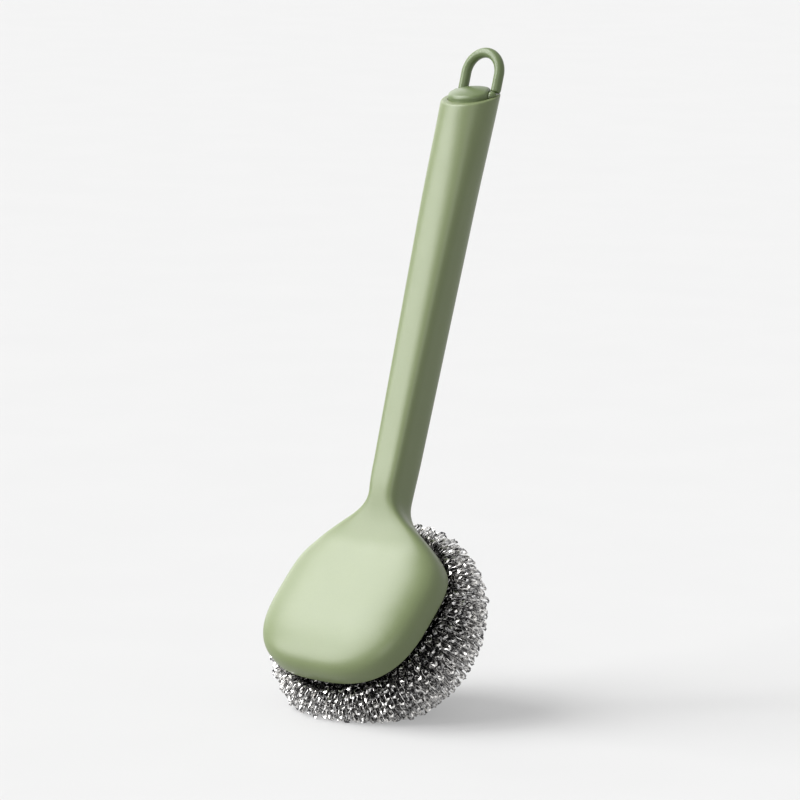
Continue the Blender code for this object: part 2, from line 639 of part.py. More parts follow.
def loop_path():
    """The loop's centre line and rod radius from one trunnion tip to the other, X across and Z up the loop."""
    half = LOOP_SPACING / 2
    inner = half - TRUNNION_BEND
    tip = BLOCK_BACK_WIDTH / 2 - TRUNNION_ENTRY / 2
    points = [(tip, 0, TRUNNION_RADIUS), (inner, 0, TRUNNION_RADIUS)]
    for turn in np.linspace(0, math.pi / 2, FOOT_ROWS)[1:]:
        points.append((inner + TRUNNION_BEND * math.sin(turn), TRUNNION_BEND * (1 - math.cos(turn)),
                       TRUNNION_RADIUS))
    for share in np.linspace(0, 1, FOOT_ROWS)[1:]:
        points.append((half, TRUNNION_BEND + (FOOT_TAPER - TRUNNION_BEND) * share,
                       TRUNNION_RADIUS + (LOOP_ROD / 2 - TRUNNION_RADIUS) * math.sin(share * math.pi / 2)))
    for turn in np.linspace(0, math.pi / 2, ARCH_ROWS):
        points.append((half * math.cos(turn), LOOP_LEG + half * math.sin(turn), LOOP_ROD / 2))
    mirrored = [(-x, z, radius) for x, z, radius in points[-2::-1]]
    return np.array(points + mirrored)


def make_hanging_loop(pivot, finish):
    """A round rod bent to an arch, its thinned feet turned in as the trunnions that it swings on."""
    path = loop_path()
    centre = np.stack([path[:, 0], np.zeros(len(path)), path[:, 1]], 1)
    along = np.gradient(centre, axis=0)
    along /= np.linalg.norm(along, axis=1)[:, None]
    side = np.array([0, 1, 0])
    across = np.cross(along, side)
    angles = np.linspace(0, 2 * math.pi, ROD_SIDES, endpoint=False)
    rings = [centre[k] + path[k, 2] * (np.cos(angles)[:, None] * side + np.sin(angles)[:, None] * across[k])
             for k in range(len(path))]
    return solid("hanging_loop", skin(rings), pivot, finish)


def main():
    clear_scene()
    sage = material("sage_plastic", (0.52, 0.62, 0.40), 0.55)
    dark_sage = material("dark_sage_plastic", (0.30, 0.42, 0.23), 0.35)
    inner = material("inner_plastic", (0.62, 0.66, 0.58), 0.5)
    rubber = material("grip_rubber", (0.03, 0.03, 0.03), 0.8)
    steel = material("stainless_wire", (0.62, 0.61, 0.60), 0.25, 1.0)
    zinc = material("zinc_plate", (0.66, 0.67, 0.69), 0.35, 1.0)

    foot_y, foot_z = foot_centre()
    tilt = math.pi / 2 - HEAD_LEAN
    to_world = Matrix.Rotation(tilt, 4, "X")
    head = empty("head_frame", location=to_world @ Vector((0, -foot_y, -foot_z)), turn=tilt)
    end_y, end_z, bend = spine(SPINE_LENGTH)
    end = empty("end_frame", head, (0, end_y, end_z), bend + END_SLANT - math.pi / 2)
    pivot = empty("loop_pivot", end, (0, PIVOT_BACK, PIVOT_HEIGHT), -END_SLANT)
    refill = empty("refill_axis", head, (0, BALL_OFFSET, 0))

    make_handle_body(head, sage)
    make_end_plug(end, dark_sage)
    make_hanging_loop(pivot, dark_sage)
    make_socket_plate(head, inner)
    make_socket_screws(head, zinc)
    make_refill_carrier(refill, inner)
    make_grip_ring(refill, rubber)
    make_clamp(refill, zinc, zinc)
    make_scourer_ball(refill, steel)
    make_gather_tie(refill, steel)


main()
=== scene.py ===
import math

import bpy
import numpy as np
from mathutils import Matrix, Vector


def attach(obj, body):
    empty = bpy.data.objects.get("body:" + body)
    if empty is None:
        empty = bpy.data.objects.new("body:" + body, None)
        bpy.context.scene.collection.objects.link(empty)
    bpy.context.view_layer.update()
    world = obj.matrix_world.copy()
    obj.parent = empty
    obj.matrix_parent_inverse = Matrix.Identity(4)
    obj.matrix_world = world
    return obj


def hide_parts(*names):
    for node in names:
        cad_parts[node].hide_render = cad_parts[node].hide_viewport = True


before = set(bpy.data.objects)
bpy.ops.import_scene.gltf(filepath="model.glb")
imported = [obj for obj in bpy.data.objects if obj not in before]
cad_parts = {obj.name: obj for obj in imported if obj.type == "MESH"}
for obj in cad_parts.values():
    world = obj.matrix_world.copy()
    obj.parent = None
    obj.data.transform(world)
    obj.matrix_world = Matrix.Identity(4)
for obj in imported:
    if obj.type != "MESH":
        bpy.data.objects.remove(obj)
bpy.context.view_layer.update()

# The scrubber is seen from the right of its front and a little from above, from far away through a long lens,
# so its long handle keeps its true slimness.
MM = 0.001
CAMERA_TURN = math.radians(42.01)
CAMERA_RAISE = math.radians(8.88)
CAMERA_ROLL = math.radians(0.27)
CAMERA_AWAY = 1720 * MM
FOCAL_PIXELS = 4800.0
FRAME_PIXELS = 800.0
FOOT_RIGHT_PIXELS = -44.3
FOOT_DOWN_PIXELS = -311.1

back = np.array([math.sin(CAMERA_TURN) * math.cos(CAMERA_RAISE), -math.cos(CAMERA_TURN) * math.cos(CAMERA_RAISE),
                 math.sin(CAMERA_RAISE)])
level_right = np.array([math.cos(CAMERA_TURN), math.sin(CAMERA_TURN), 0.0])
level_up = np.cross(back, level_right)
right = level_right * math.cos(CAMERA_ROLL) + level_up * math.sin(CAMERA_ROLL)
up = level_up * math.cos(CAMERA_ROLL) - level_right * math.sin(CAMERA_ROLL)
pixel = CAMERA_AWAY / FOCAL_PIXELS
place = back * CAMERA_AWAY - right * FOOT_RIGHT_PIXELS * pixel - up * FOOT_DOWN_PIXELS * pixel

lens = bpy.data.cameras.new("long_lens")
lens.sensor_width = 36.0
lens.lens = lens.sensor_width * FOCAL_PIXELS / FRAME_PIXELS
lens.clip_start, lens.clip_end = 0.05, 50.0
camera = bpy.data.objects.new("long_lens", lens)
bpy.context.scene.collection.objects.link(camera)
camera.matrix_world = Matrix(((right[0], up[0], back[0], place[0]), (right[1], up[1], back[1], place[1]),
                              (right[2], up[2], back[2], place[2]), (0, 0, 0, 1)))
bpy.context.scene.camera = camera


# The pale matt worktop that the scrubber stands on. It runs on behind it as the backdrop too, so the scrubber
# stands free and only its own shadow lies on the white. It looks a little paler than the light on it makes it.
class Thread:
    """One output of a finish's nodes. Sums, differences and products of threads add their Math nodes."""

    def __init__(self, tree, socket=None):
        self.tree = tree
        self.socket = socket

    def node(self, kind, settings=None, inputs=None, output=0):
        """Adds a node: its settings first, then a value or a thread for each input. Gives one output."""
        made = self.tree.nodes.new(kind)
        for key, value in (settings or {}).items():
            if key == "stops":
                ramp = made.color_ramp.elements
                while len(ramp) < len(value):
                    ramp.new(1.0)
                for stop, (position, colour) in zip(ramp, value):
                    stop.position, stop.color = position, (*colour, 1.0)
            else:
                setattr(made, key, value)
        for key, value in (inputs or {}).items():
            if isinstance(value, Thread):
                self.tree.links.new(value.socket, made.inputs[key])
            else:
                made.inputs[key].default_value = value
        return Thread(self.tree, made.outputs[output])

    def math(self, operation, first, second):
        """A Math node on two threads or numbers."""
        return self.node("ShaderNodeMath", {"operation": operation}, {0: first, 1: second})

    def __add__(self, other):
        return self.math("ADD", self, other)

    def __radd__(self, other):
        return self.math("ADD", other, self)

    def __sub__(self, other):
        return self.math("SUBTRACT", self, other)

    def __rsub__(self, other):
        return self.math("SUBTRACT", other, self)

    def __mul__(self, other):
        return self.math("MULTIPLY", self, other)

    def __rmul__(self, other):
        return self.math("MULTIPLY", other, self)

    def place(self):
        """Where a point is on its own object, in metres."""
        return self.node("ShaderNodeTexCoord", output="Object")

    def noise(self, place, size, detail=2.0, roughness=0.5):
        """Cloudy noise whose lumps are about one size wide, from 0 to 1."""
        return self.node("ShaderNodeTexNoise", {"noise_dimensions": "3D"},
                         {"Vector": place, "Scale": 1 / size, "Detail": detail, "Roughness": roughness})

    def mix(self, factor, first, second, blend="MIX"):
        """A colour between two colours."""
        return self.node("ShaderNodeMix", {"data_type": "RGBA", "blend_type": blend},
                         {0: factor, 6: first, 7: second}, output=2)

    def bump(self, height, depth, after=None):
        """A surface normal with a relief of a real depth."""
        inputs = {"Strength": 1.0, "Distance": depth, "Height": height}
        if after:
            inputs["Normal"] = after
        return self.node("ShaderNodeBump", None, inputs)


def finish_start(name):
    """A new finish: its material, its shader's sockets, and a thread to hang nodes on."""
    made = bpy.data.materials.new(name)
    made.use_nodes = True
    shader = made.node_tree.nodes["Principled BSDF"]
    return made, shader, Thread(made.node_tree)


def feed(shader, **threads):
    """Links threads to a shader's sockets, underscores standing for the spaces in their names."""
    for key, thread in threads.items():
        shader.id_data.links.new(thread.socket, shader.inputs[key.replace("_", " ")])


def settle(shader, **values):
    """Sets constants on a shader's own sockets."""
    for key, value in values.items():
        shader.inputs[key.replace("_", " ")].default_value = value


def shown(start):
    """One where a ray shows what is there, straight, in a mirror or through glass, and nought where it lights."""
    return (start.node("ShaderNodeLightPath", output="Is Camera Ray")
            + start.node("ShaderNodeLightPath", output="Is Glossy Ray")
            + start.node("ShaderNodeLightPath", output="Is Transmission Ray"))


WORKTOP_GLOW = 0.335
WORKTOP_REACH = 8.0

worktop_finish, shader, start = finish_start("worktop_white")
cloud = start.noise(start.place(), 60 * MM)
feed(shader, Base_Color=start.mix(cloud, (0.405, 0.405, 0.405, 1), (0.425, 0.425, 0.424, 1)),
     Emission_Color=start.mix(shown(start), (0, 0, 0, 1), (WORKTOP_GLOW, WORKTOP_GLOW, WORKTOP_GLOW, 1)))
settle(shader, Roughness=0.6, Specular_IOR_Level=0.0, Emission_Strength=1.0)

corners = np.array([(-1, -1, 0), (1, -1, 0), (1, 1, 0), (-1, 1, 0)]) * WORKTOP_REACH
worktop_mesh = bpy.data.meshes.new("worktop")
worktop_mesh.from_pydata(corners.tolist(), [], [(0, 1, 2, 3)])
worktop_mesh.materials.append(worktop_finish)
worktop = bpy.data.objects.new("worktop", worktop_mesh)
bpy.context.scene.collection.objects.link(worktop)

# Three soft lights, one above the other, act as one tall window at the left. A pale wall beside it lights the left
# edges, a weak lamp at the front right picks out the wire, and a dim room is around them. What shows or mirrors
# the room sees it white.
WINDOW_TOWARDS = (-0.40, -0.64, 0.66)
WINDOW_STRENGTH = 1.5
WINDOW_SPREAD = math.radians(38)
HIGH_TOWARDS = (-0.64, -0.24, 0.73)
HIGH_STRENGTH = 2.0
LOW_TOWARDS = (-0.68, -0.69, 0.24)
LOW_STRENGTH = 1.8
PANE_SPREAD = math.radians(34)
WALL_TOWARDS = (-0.86, 0.34, 0.36)
WALL_STRENGTH = 0.6
WALL_SPREAD = math.radians(42)
FILL_TOWARDS = (0.50, -0.80, 0.33)
FILL_STRENGTH = 0.36
FILL_SPREAD = math.radians(30)
ROOM_LEVEL = 0.36
ROOM_WHITE = 0.90


def lamp(name, towards, strength, spread):
    """A far, soft, round light that shines from one direction."""
    light = bpy.data.lights.new(name, "SUN")
    light.energy = strength
    light.angle = spread
    made = bpy.data.objects.new(name, light)
    made.rotation_euler = Vector(towards).to_track_quat("Z", "Y").to_euler()
    bpy.context.scene.collection.objects.link(made)


lamp("window", WINDOW_TOWARDS, WINDOW_STRENGTH, WINDOW_SPREAD)
lamp("window_high", HIGH_TOWARDS, HIGH_STRENGTH, PANE_SPREAD)
lamp("window_low", LOW_TOWARDS, LOW_STRENGTH, PANE_SPREAD)
lamp("pale_wall", WALL_TOWARDS, WALL_STRENGTH, WALL_SPREAD)
lamp("fill", FILL_TOWARDS, FILL_STRENGTH, FILL_SPREAD)

room = bpy.data.worlds.new("pale_room")
room.use_nodes = True
bpy.context.scene.world = room
room_light = room.node_tree.nodes["Background"]
start = Thread(room.node_tree)
strength = shown(start) * (ROOM_WHITE - ROOM_LEVEL) + ROOM_LEVEL
room_light.inputs["Color"].default_value = (1.0, 1.0, 1.0, 1.0)
room.node_tree.links.new(strength.socket, room_light.inputs["Strength"])
bpy.context.scene.view_settings.view_transform = "Standard"

# Handle and cover shell: one injection moulding in matt sage green polypropylene, hollow from below and from
# its slanted end, with four bosses inside for the socket plate's screws. Its skin has a very fine spark grain.
HEAD_LEAN = math.radians(43.7)
HANDLE_BEND = math.radians(27.2)
END_SLANT = math.radians(28.6)
HEAD_WIDTH = 69.4 * MM
HEAD_FAR = 30.5 * MM
HEAD_HEIGHT = 12.7 * MM
SHOULDER_END = 36.0 * MM
SHELL_WALL = 2.4 * MM
RIM_ROUNDING = 0.5 * MM
CAVITY_NEAR = 29.5 * MM
FAR_POWER = 2.8
SHOULDER_POWER = 4.0
FILLET_POWER = 1.5
NEAR_POWER = 2.5
SECTION_POWER = 3.4
SPINE_LENGTH = 187.2 * MM
NECK_AT = 35.0 * MM
NECK_WIDTH = 14.7 * MM
NECK_THICKNESS = 17.4 * MM
NECK_RISE = 14.0 * MM
RISE_AT = 18.5 * MM
RISE_LENGTH = 28.3 * MM
BEND_AT = 24.7 * MM
BEND_LENGTH = 29.2 * MM
END_WIDTH = 22.4 * MM
END_THICKNESS = 17.8 * MM
END_ROUNDING = 0.7 * MM
HANDLE_WALL = 2.2 * MM
BORE_DEPTH = 120.0 * MM
TUBE_POWER = 2.1
NECK_POWER = 4.2
POWER_TRIM = 0.29
FACE_SHIFT = 2.2 * MM
FACE_FADE = 45.0 * MM
SOFT_FROM = 14 * MM
SOFT_TO = 62 * MM
SOFT_FADE = 14 * MM
SOFT_REACH = 4.5 * MM
GAP = 0.3 * MM
OVERRUN = 2.0 * MM
PLATE_TOP = 4.4 * MM
SCREW_EDGE = 12.0 * MM
SCREW_NEAR_EDGE = 17.0 * MM
PILOT_RADIUS = 1.8 * MM
PILOT_TOP = 8.0 * MM
BOSS_WALL = 1.6 * MM
BALL_RADIUS = 41.0 * MM
BALL_HALF = 26.0 * MM
BALL_DEPTH = 13.3 * MM
BALL_OFFSET = 1.9 * MM
FOOT_DEPTH = 6.0 * MM
RIGHT_ANGLE = math.pi / 2
HARD_EDGE = math.radians(32)
SPINE_STEPS = 2000
SOFT_STEPS = 11
HEAD_ROWS = 60
NECK_ROWS = 46
TUBE_ROWS = 70
EDGE_ROWS = 6
SKIN_AROUND = 176
HOLLOW_AROUND = 112
BORE_AROUND = 96
TIP_START = 0.05
TIP_CROWDING = 1.3


def smooth(share):
    """An S-curve from 0 to 1, level at both ends: three times the square less twice the cube."""
    share = np.clip(share, 0, 1)
    return share * share * (3 - 2 * share)


def oval(half_width, half_up, half_down, power, turn):
    """x is the half width times cos to 2/p, and y the half height times sin to 2/p, each with its sign."""
    cosine, sine = np.cos(turn), np.sin(turn)
    x = half_width * np.sign(cosine) * np.abs(cosine) ** (2 / power)
    return x, np.where(sine > 0, half_up, half_down) * np.sign(sine) * np.abs(sine) ** (2 / power)


def even_turns(count, power, flatness):
    """Angles round an oval that give evenly spaced points on it."""
    turn = np.linspace(0, 2 * math.pi, 20 * count + 1)
    x, y = oval(1.0, flatness, flatness, power, turn)
    along = np.concatenate([[0], np.cumsum(np.hypot(np.diff(x), np.diff(y)))])
    return np.interp(np.linspace(0, along[-1], count, endpoint=False), along, turn)


def tube_half(station):
    """Half the handle's width and thickness, both growing evenly from the neck to the end."""
    share = np.clip((station - NECK_AT) / (SPINE_LENGTH - NECK_AT), 0, 1)
    return ((NECK_WIDTH + (END_WIDTH - NECK_WIDTH) * share) / 2,
            (NECK_THICKNESS + (END_THICKNESS - NECK_THICKNESS) * share) / 2)


def spine(station):
    """The handle's middle line in the head's frame: it turns up by an S-curve and rises by another."""
    steps = np.linspace(0, SPINE_LENGTH, SPINE_STEPS)
    angle = HANDLE_BEND * smooth((steps - BEND_AT) / BEND_LENGTH)
    middle, along = (angle[1:] + angle[:-1]) / 2, np.diff(steps)
    y = np.concatenate([[0], np.cumsum(np.cos(middle) * along)])
    z = np.concatenate([[0], np.cumsum(np.sin(middle) * along)])
    z = z + NECK_RISE * smooth((steps - RISE_AT) / RISE_LENGTH)
    return np.interp(station, steps, y), np.interp(station, steps, z), np.interp(station, steps, angle)


def handle_rows(stations, inset, slant, turn, rounding=0.0):
    """Sections square to the spine. The width past the head's widest line is the neck's and a share of the rest:
    one less the station's share of the shoulder to the fourth, all to 1.5. The tube is squarest at the neck and
    evenly less so towards the end, trimmed so that its outline stays. The shift brings its widest line nearer to
    the front face. The flat underside's corners are rounded by a quarter circle, and slant shears a section to
    the end face."""
    station = np.asarray(stations, float)[:, None]
    inset, slant = np.asarray(inset, float)[..., None], np.asarray(slant, float)[..., None]
    square = (NECK_POWER - TUBE_POWER) * np.clip((SPINE_LENGTH - station) / (SPINE_LENGTH - NECK_AT), 0, 1)
    trim = 1 - POWER_TRIM * square / (TUBE_POWER + square)
    neck, thick = (half * trim for half in tube_half(station))
    left = np.maximum(0, 1 - (station / SHOULDER_END) ** SHOULDER_POWER) ** FILLET_POWER
    half = neck + (HEAD_WIDTH / 2 - neck) * left - inset
    rise = smooth((station - RISE_AT) / RISE_LENGTH)
    shift = FACE_SHIFT * smooth((SPINE_LENGTH - station) / FACE_FADE)
    half_up = HEAD_HEIGHT * (1 - rise) + (thick - shift) * rise - inset
    corner = rounding * (1 - rise)
    x, height = oval(half, half_up - corner, (thick + shift - inset) * rise,
                     SECTION_POWER * (1 - rise) + (TUBE_POWER + square) * rise, turn[None, :])
    height = height + corner_height(x, half, corner, turn) + shift * rise
    y, z, angle = spine(station)
    along = -math.tan(END_SLANT) * height * slant
    return np.stack([x, y + along * np.cos(angle) - height * np.sin(angle),
                     z + along * np.sin(angle) + height * np.cos(angle)], 2)


def soft_rows(stations, slant, turn, rounding):
    """The handle's sections, each the mean of those around its station. How far they reach grows and fades by
    S-curves, so that the head flows into the handle and the rest stays as it is."""
    reach = SOFT_REACH * smooth((stations - SOFT_FROM) / SOFT_FADE) * smooth((SOFT_TO - stations) / SOFT_FADE)
    steps = np.linspace(-1, 1, SOFT_STEPS)
    rows = sum(handle_rows(stations + reach * step, 0 * stations, slant, turn, rounding) for step in steps)
    return rows / SOFT_STEPS


def corner_height(x, half, corner, turn):
    """How far the rounded lower corner lifts a point: the whole radius above, a quarter circle below."""
    safe = np.maximum(corner, 1e-9)
    reach = np.clip((np.abs(x) - (half - safe)) / safe, 0, 1)
    return np.where(np.sin(turn) > 0, corner, corner * (1 - np.sqrt(1 - reach ** 2)))


def head_rows(turns, half_width, length, height, power, floor, turn, rounding=0.0):
    """Sections of the head from its tip to its widest line: the plan and the profile are both ovals. A skin's
    lower corners are rounded, and a tool that cuts, with no rounding, runs straight down to its floor."""
    lean = np.asarray(turns, float)[:, None]
    across = np.sin(lean) ** (2 / power)
    closing = np.sin(lean) ** (2 / SECTION_POWER)
    half = half_width * across
    corner = np.minimum(rounding, 0.35 * height * closing)
    x, z = oval(half, height * closing - corner, 0, SECTION_POWER, turn[None, :])
    z = z + corner_height(x, half, corner, turn) if rounding else np.where(np.sin(turn) > 1e-9, z, -floor)
    return np.stack([x, length * np.cos(lean) ** (2 / power) + 0 * x, z], 2)


def wrap(rows, poles=()):
    """Points and faces of a skin over rows of points. It closes round each row, and runs to poles at its ends."""
    count, around = rows.shape[:2]
    k = np.arange(around)
    base = (np.arange(count - 1) * around)[:, None]
    after = (k + 1) % around
    quads = np.stack([base + k, base + after, base + around + after, base + around + k], 2).reshape(-1, 4)
    points = rows.reshape(-1, 3)
    faces = quads.tolist()
    for pole, row in zip(poles, (0, count - 1)):
        faces += np.stack([row * around + k, row * around + after, np.full(around, len(points))], 1).tolist()
        points = np.concatenate([points, [pole]])
    return points, faces


def piece_of(name, points, faces, finish=None, sharp=HARD_EDGE):
    """A piece with its faces turned outwards, by the sign of the volume that they close in."""
    mesh = bpy.data.meshes.new(name)
    mesh.from_pydata(np.asarray(points).tolist(), [], faces)
    mesh.update()
    mesh.calc_loop_triangles()
    corner = np.empty(len(mesh.loop_triangles) * 3, np.int32)
    mesh.loop_triangles.foreach_get("vertices", corner)
    a, b, c = np.asarray(points)[corner.reshape(-1, 3)].transpose(1, 0, 2)
    if np.einsum("ij,ij->", a, np.cross(b, c)) < 0:
        mesh.flip_normals()
    mesh.shade_smooth()
    mesh.set_sharp_from_angle(angle=sharp)
    made = bpy.data.objects.new(name, mesh)
    bpy.context.scene.collection.objects.link(made)
    if finish:
        mesh.materials.append(finish)
    return made


def combine(piece, tool, operation):
    """Cuts a tool shape out of a piece or joins it on, and removes the tool."""
    step = piece.modifiers.new(tool.name, "BOOLEAN")
    step.operation = operation
    step.solver = "EXACT"
    step.object = tool
    graph = bpy.context.evaluated_depsgraph_get()
    made = bpy.data.meshes.new_from_object(piece.evaluated_get(graph))
    piece.modifiers.clear()
    used = [piece.data, tool.data]
    piece.data = made
    bpy.data.objects.remove(tool)
    for mesh in used:
        bpy.data.meshes.remove(mesh)
    made.set_sharp_from_angle(angle=HARD_EDGE)


def to_world(points):
    """From the head's frame, whose origin is on the rim plane, to the scrubber as it stands."""
    reach = math.hypot(BALL_RADIUS * math.cos(HEAD_LEAN), BALL_HALF * math.sin(HEAD_LEAN))
    share = (reach - FOOT_DEPTH) / reach
    foot_y = BALL_OFFSET - BALL_RADIUS ** 2 * math.cos(HEAD_LEAN) / reach * share
    foot_z = -BALL_DEPTH - BALL_HALF ** 2 * math.sin(HEAD_LEAN) / reach * share
    tilt = RIGHT_ANGLE - HEAD_LEAN
    y, z = points[..., 1] - foot_y, points[..., 2] - foot_z
    return np.stack([points[..., 0], y * math.cos(tilt) - z * math.sin(tilt),
                     y * math.sin(tilt) + z * math.cos(tilt)], -1)


def posts(name, places, radius, low, tops, sides=32):
    """Upright round posts or holes in the head's frame, all in one tool shape."""
    turn = np.linspace(0, 2 * math.pi, sides, endpoint=False)
    points, faces = [], []
    for (x, y), top in zip(places, tops):
        ring = np.stack([x + radius * np.cos(turn), y + radius * np.sin(turn), 0 * turn], 1)
        rows = np.stack([ring + (0, 0, low), ring + (0, 0, top)])
        more, skins = wrap(rows, ((x, y, low), (x, y, top)))
        faces += [[len(points) + corner for corner in face] for face in skins]
        points += more.tolist()
    return piece_of(name, to_world(np.array(points)), faces)


sage, shader, start = finish_start("matt_sage_moulding")
spot = start.place()
grain = start.noise(spot, 0.32 * MM, 3.0, 0.65)
flow = start.noise(spot, 14 * MM, 2.0)
rub = start.noise(spot, 3.5 * MM, 3.0)
tone = start.mix(flow, (0.155, 0.197, 0.082, 1), (0.171, 0.213, 0.093, 1))
speck = start.node("ShaderNodeValToRGB", {"stops": [(0.35, (0.93, 0.93, 0.93)), (0.65, (1.0, 1.0, 1.0))]},
                   {"Fac": grain})
feed(shader, Base_Color=start.mix(1.0, tone, speck, "MULTIPLY"), Roughness=rub * 0.08 + 0.34,
     Normal=start.bump(grain, 0.028 * MM, start.bump(rub, 0.03 * MM)))
settle(shader, Specular_IOR_Level=0.6)

turn = even_turns(SKIN_AROUND, SECTION_POWER, HEAD_HEIGHT / (HEAD_WIDTH / 2))
tip_turns = RIGHT_ANGLE * np.linspace(TIP_START, 1, HEAD_ROWS) ** TIP_CROWDING
tip = head_rows(tip_turns, HEAD_WIDTH / 2, -HEAD_FAR, HEAD_HEIGHT, FAR_POWER, 0, turn, RIM_ROUNDING)
bend_end = max(BEND_AT + BEND_LENGTH, RISE_AT + RISE_LENGTH)
tube_end = SPINE_LENGTH - END_ROUNDING
stations = np.concatenate([np.linspace(0, bend_end, NECK_ROWS)[1:], np.linspace(bend_end, tube_end, TUBE_ROWS)[1:]])
slant = np.clip((stations - (SPINE_LENGTH - END_THICKNESS)) / (END_THICKNESS - END_ROUNDING), 0, 1)
tube = soft_rows(stations, slant, turn, RIM_ROUNDING)
round_turn = np.linspace(0, RIGHT_ANGLE, EDGE_ROWS)[1:]
edge = handle_rows(tube_end + END_ROUNDING * np.sin(round_turn), END_ROUNDING * (1 - np.cos(round_turn)),
                   np.ones(len(round_turn)), turn)
end_y, end_z, end_angle = spine(SPINE_LENGTH)
points, faces = wrap(np.concatenate([tip, tube, edge]), ((0, -HEAD_FAR, RIM_ROUNDING), (0, end_y, end_z)))
handle = piece_of("handle_moulding", to_world(points), faces, sage)

inner_turn = even_turns(HOLLOW_AROUND, SECTION_POWER, HEAD_HEIGHT / (HEAD_WIDTH / 2))
hollow = (HEAD_WIDTH / 2 - SHELL_WALL, HEAD_HEIGHT - SHELL_WALL)
lean = RIGHT_ANGLE * np.linspace(0.07, 1, 30)
far = head_rows(lean, hollow[0], -(HEAD_FAR - SHELL_WALL), hollow[1], FAR_POWER, OVERRUN, inner_turn)
near = head_rows(lean[-2::-1], hollow[0], CAVITY_NEAR, hollow[1], NEAR_POWER, OVERRUN, inner_turn)
ends = ((0, far[0, 0, 1], -OVERRUN / 2), (0, near[-1, 0, 1], -OVERRUN / 2))
points, faces = wrap(np.concatenate([far, near]), ends)
combine(handle, piece_of("shell_hollow", to_world(points), faces), "DIFFERENCE")

bore_turn = even_turns(BORE_AROUND, TUBE_POWER, END_THICKNESS / END_WIDTH)
bore = handle_rows(np.linspace(SPINE_LENGTH - BORE_DEPTH, SPINE_LENGTH, 12), HANDLE_WALL, 0.0, bore_turn)
out = bore[-1] + np.array([0, math.cos(end_angle), math.sin(end_angle)]) * END_THICKNESS
bore = np.concatenate([bore, out[None]])
points, faces = wrap(bore, (bore[0].mean(axis=0), bore[-1].mean(axis=0)))
combine(handle, piece_of("handle_bore", to_world(points), faces), "DIFFERENCE")

screw_x = HEAD_WIDTH / 2 - SHELL_WALL - SCREW_EDGE
far_y, near_y = HEAD_FAR - SHELL_WALL - SCREW_EDGE, CAVITY_NEAR - SCREW_NEAR_EDGE
screw_places = [(-screw_x, -far_y), (screw_x, -far_y), (-screw_x, near_y), (screw_x, near_y)]
boss_radius = PILOT_RADIUS + BOSS_WALL


def left_over(share, power):
    """How much of an oval's width is left at a share of its length."""
    return (1 - abs(share) ** power) ** (1 / power)


def boss_top(x, y):
    """Half way between the hollow's ceiling over the boss's inner side and the shell's outside over its outer."""
    reach = boss_radius / math.sqrt(2)
    inner_x, inner_y = abs(x) - reach, abs(y) - reach
    outer_x, outer_y = abs(x) + reach, abs(y) + reach
    length, power = (HEAD_FAR - SHELL_WALL, FAR_POWER) if y < 0 else (CAVITY_NEAR, NEAR_POWER)
    left = left_over(inner_y / length, power)
    low = hollow[1] * left ** (power / SECTION_POWER) * left_over(inner_x / (hollow[0] * left), SECTION_POWER)
    if y > 0:
        neck = tube_half(outer_y)[0]
        half = neck + (HEAD_WIDTH / 2 - neck) * (1 - (outer_y / SHOULDER_END) ** SHOULDER_POWER) ** FILLET_POWER
        return (low + HEAD_HEIGHT * left_over(outer_x / half, SECTION_POWER)) / 2
    left = left_over(outer_y / HEAD_FAR, FAR_POWER)
    high = HEAD_HEIGHT * left ** (FAR_POWER / SECTION_POWER)
    return (low + high * left_over(outer_x / (HEAD_WIDTH / 2 * left), SECTION_POWER)) / 2


boss_tops = [boss_top(x, y) for x, y in screw_places]
combine(handle, posts("boss_posts", screw_places, boss_radius, PLATE_TOP + GAP, boss_tops), "UNION")
combine(handle, posts("pilot_holes", screw_places, PILOT_RADIUS, PLATE_TOP - OVERRUN, [PILOT_TOP] * 4), "DIFFERENCE")
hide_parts("handle_body")
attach(handle, "handle")

# End plug: a darker green cap pushed into the handle's slanted end. Its domed face has its two back corners cut
# off to make room for the loop's feet, an ear rises along each cut to the foot, and a cross hole takes the loop.
PLUG_LENGTH = 14.0 * MM
PLUG_WALL = 1.6 * MM
BLOCK_HEIGHT = 1.9 * MM
CROWN_HEIGHT = 1.3 * MM
BLOCK_ROUNDING = 1.0 * MM
BLOCK_BACK_WIDTH = 7.6 * MM
EAR_FORWARD = 0.8 * MM
EAR_WIDTH = 3.8 * MM
EAR_HEIGHT = 1.9 * MM
EAR_BACK = 2.85 * MM
PIVOT_BACK = 5.0 * MM
PIVOT_HEIGHT = 1.0 * MM
TRUNNION_RADIUS = 0.6 * MM
CORNER_SOFTNESS = 26
EAR_STRAIGHT = 0.86
EAR_BLUNTNESS = 0.7
PLUG_AROUND = 192
ROD_AROUND = 48

plug_wide = END_WIDTH / 2 - HANDLE_WALL - GAP
plug_deep = (END_THICKNESS / 2 - HANDLE_WALL - GAP) / math.cos(END_SLANT)
cut_run = np.array([BLOCK_BACK_WIDTH / 2 - (plug_wide - GAP), plug_deep])
cut_normal = np.array([cut_run[1], -cut_run[0]]) / np.hypot(*cut_run)
cut_distance = cut_normal[0] * (plug_wide - GAP)


def end_to_world(points):
    """From the end face's frame, square to the slanted face, to the scrubber as it stands."""
    lean = end_angle + END_SLANT - RIGHT_ANGLE
    y, z = points[..., 1], points[..., 2]
    return to_world(np.stack([points[..., 0], end_y + y * math.cos(lean) - z * math.sin(lean),
                              end_z + y * math.sin(lean) + z * math.cos(lean)], -1))


def plug_row(depth, inset, turn):
    """The plug's oval at a depth down the slanted bore, drawn in by an inset."""
    wide, thick = tube_half(SPINE_LENGTH - depth)
    shrink = HANDLE_WALL + GAP + inset
    deep = (thick - shrink) / math.cos(END_SLANT)
    x, y = oval(wide - shrink, deep, deep, TUBE_POWER, turn)
    return np.stack([x, y - depth * math.sin(END_SLANT), 0 * x - depth * math.cos(END_SLANT)], 1)


